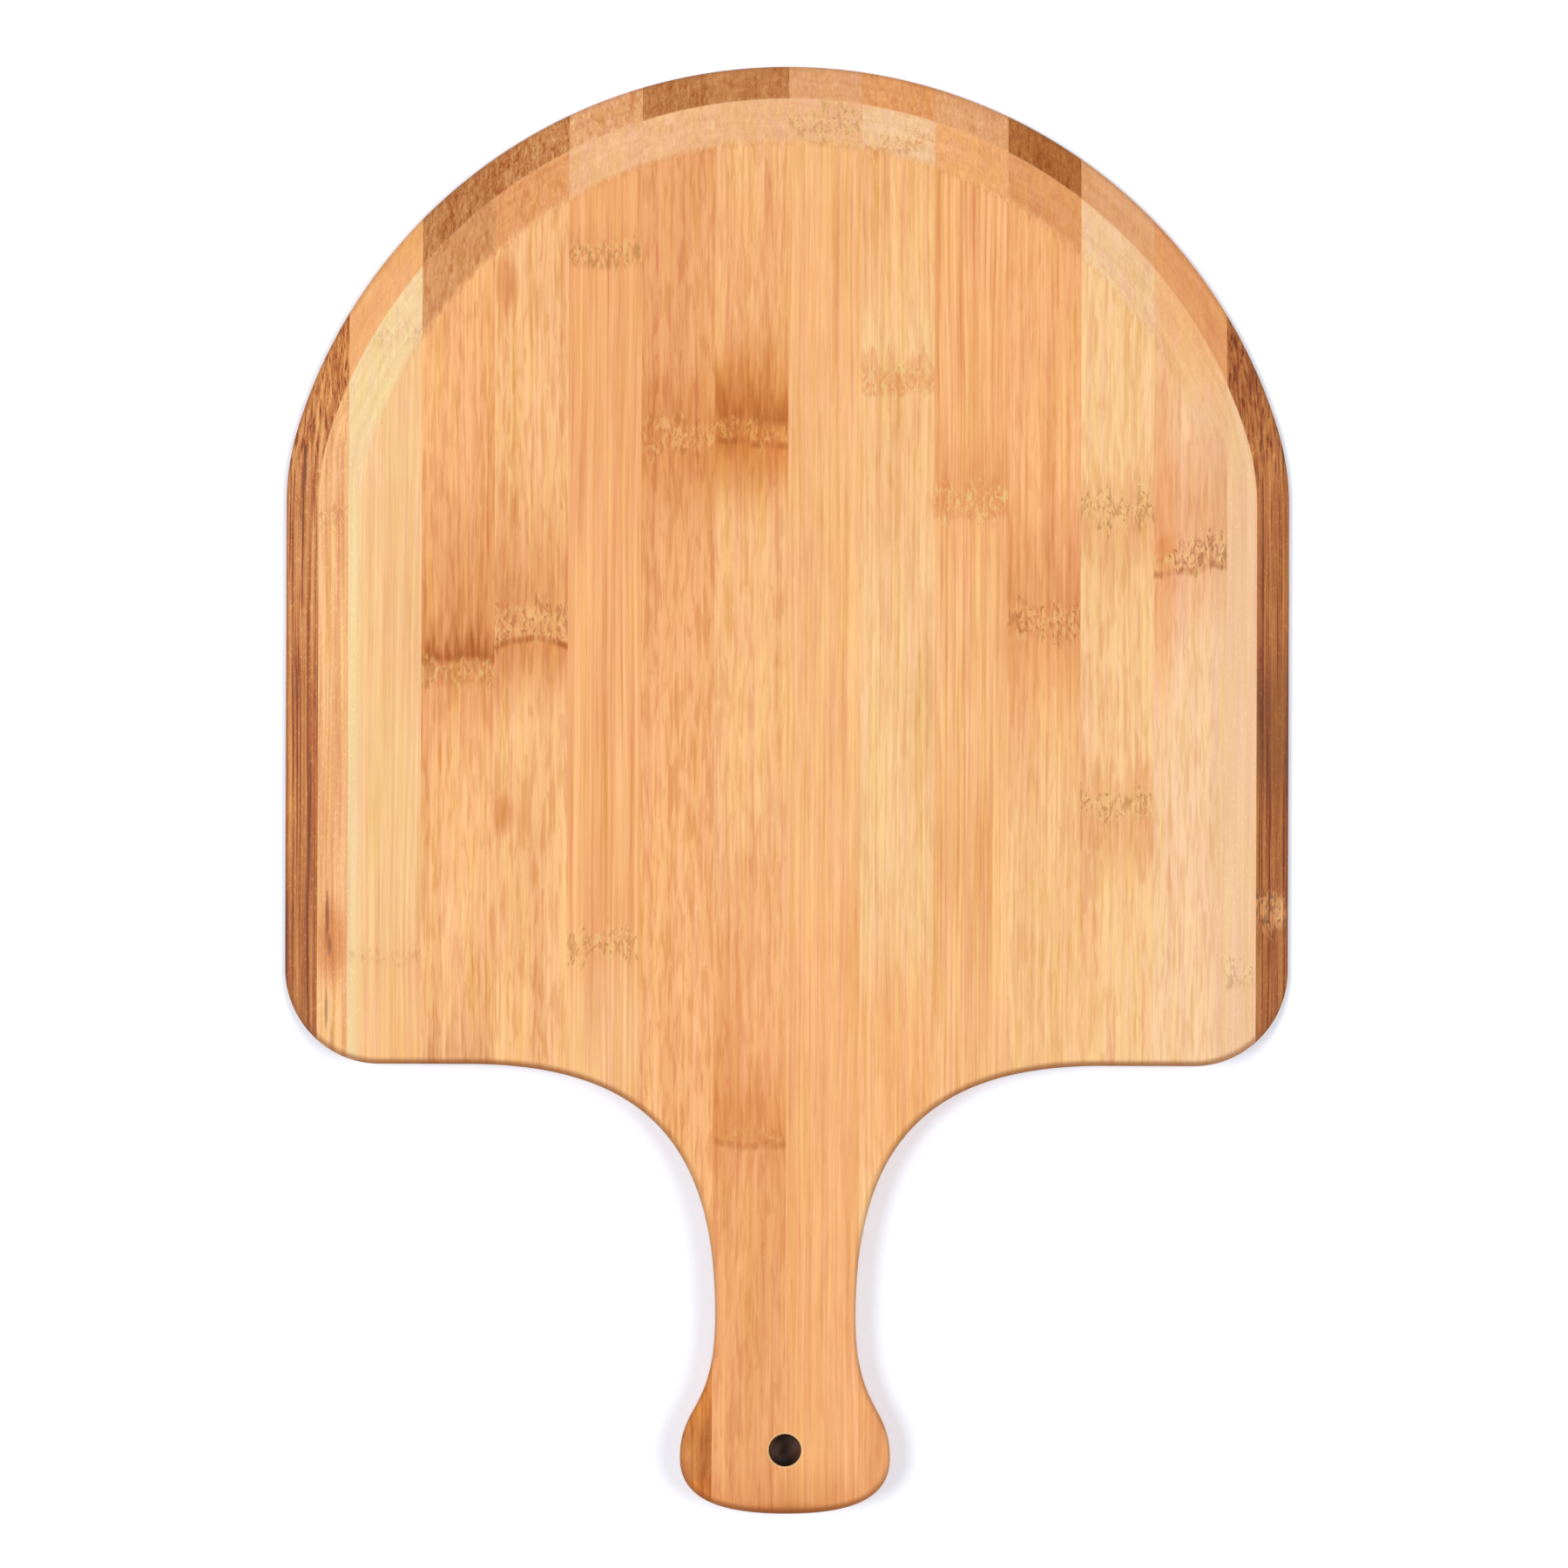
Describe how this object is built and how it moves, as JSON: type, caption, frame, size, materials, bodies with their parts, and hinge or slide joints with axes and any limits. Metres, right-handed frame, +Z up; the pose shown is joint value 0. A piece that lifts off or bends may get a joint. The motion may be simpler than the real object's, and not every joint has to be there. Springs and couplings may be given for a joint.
{
  "type": "pizza peel",
  "caption": "Flat laminated bamboo paddle board with a round bevelled front, straight sides, a waisted handle and a hanging hole, for sliding and serving pizza.",
  "frame": {"origin": "on the flat underside, at the middle of the board's length and width", "axes": "+Y along the board to the round front, the handle towards -Y, +Z up out of the serving face, +X to the right seen from above with the handle near"},
  "size_m": [0.3, 0.4326, 0.011],
  "materials": {
    "bamboo_straw": "satin, lightly oiled, fine lengthwise fibre",
    "bamboo_peach": "satin, lightly oiled, fine lengthwise fibre",
    "bamboo_honey": "satin, lightly oiled, fine lengthwise fibre",
    "bamboo_amber": "satin, lightly oiled, fine lengthwise fibre",
    "bamboo_toasted": "satin, lightly oiled, fine lengthwise fibre"
  },
  "bodies": {
    "root": {"top_strip_01": "bamboo_peach", "top_strip_02": "bamboo_straw", "top_strip_03": "bamboo_amber", "top_strip_04": "bamboo_honey", "top_strip_05": "bamboo_peach", "top_strip_06": "bamboo_amber", "top_strip_07": "bamboo_honey", "top_strip_08": "bamboo_honey", "top_strip_09": "bamboo_straw", "top_strip_10": "bamboo_peach", "top_strip_11": "bamboo_amber", "top_strip_12": "bamboo_straw", "top_strip_13": "bamboo_peach", "top_strip_14": "bamboo_straw", "top_knob_cheek_06": "bamboo_amber", "top_knob_cheek_09": "bamboo_straw", "bottom_strip_01": "bamboo_toasted", "bottom_strip_02": "bamboo_peach", "bottom_strip_03": "bamboo_toasted", "bottom_strip_04": "bamboo_toasted", "bottom_strip_05": "bamboo_honey", "bottom_strip_06": "bamboo_toasted", "bottom_strip_07": "bamboo_toasted", "bottom_strip_08": "bamboo_honey", "bottom_strip_09": "bamboo_amber", "bottom_strip_10": "bamboo_peach", "bottom_strip_11": "bamboo_toasted", "bottom_strip_12": "bamboo_honey", "bottom_strip_13": "bamboo_amber", "bottom_strip_14": "bamboo_toasted", "bottom_knob_cheek_06": "bamboo_toasted", "bottom_knob_cheek_09": "bamboo_amber"}
  },
  "joints": []
}
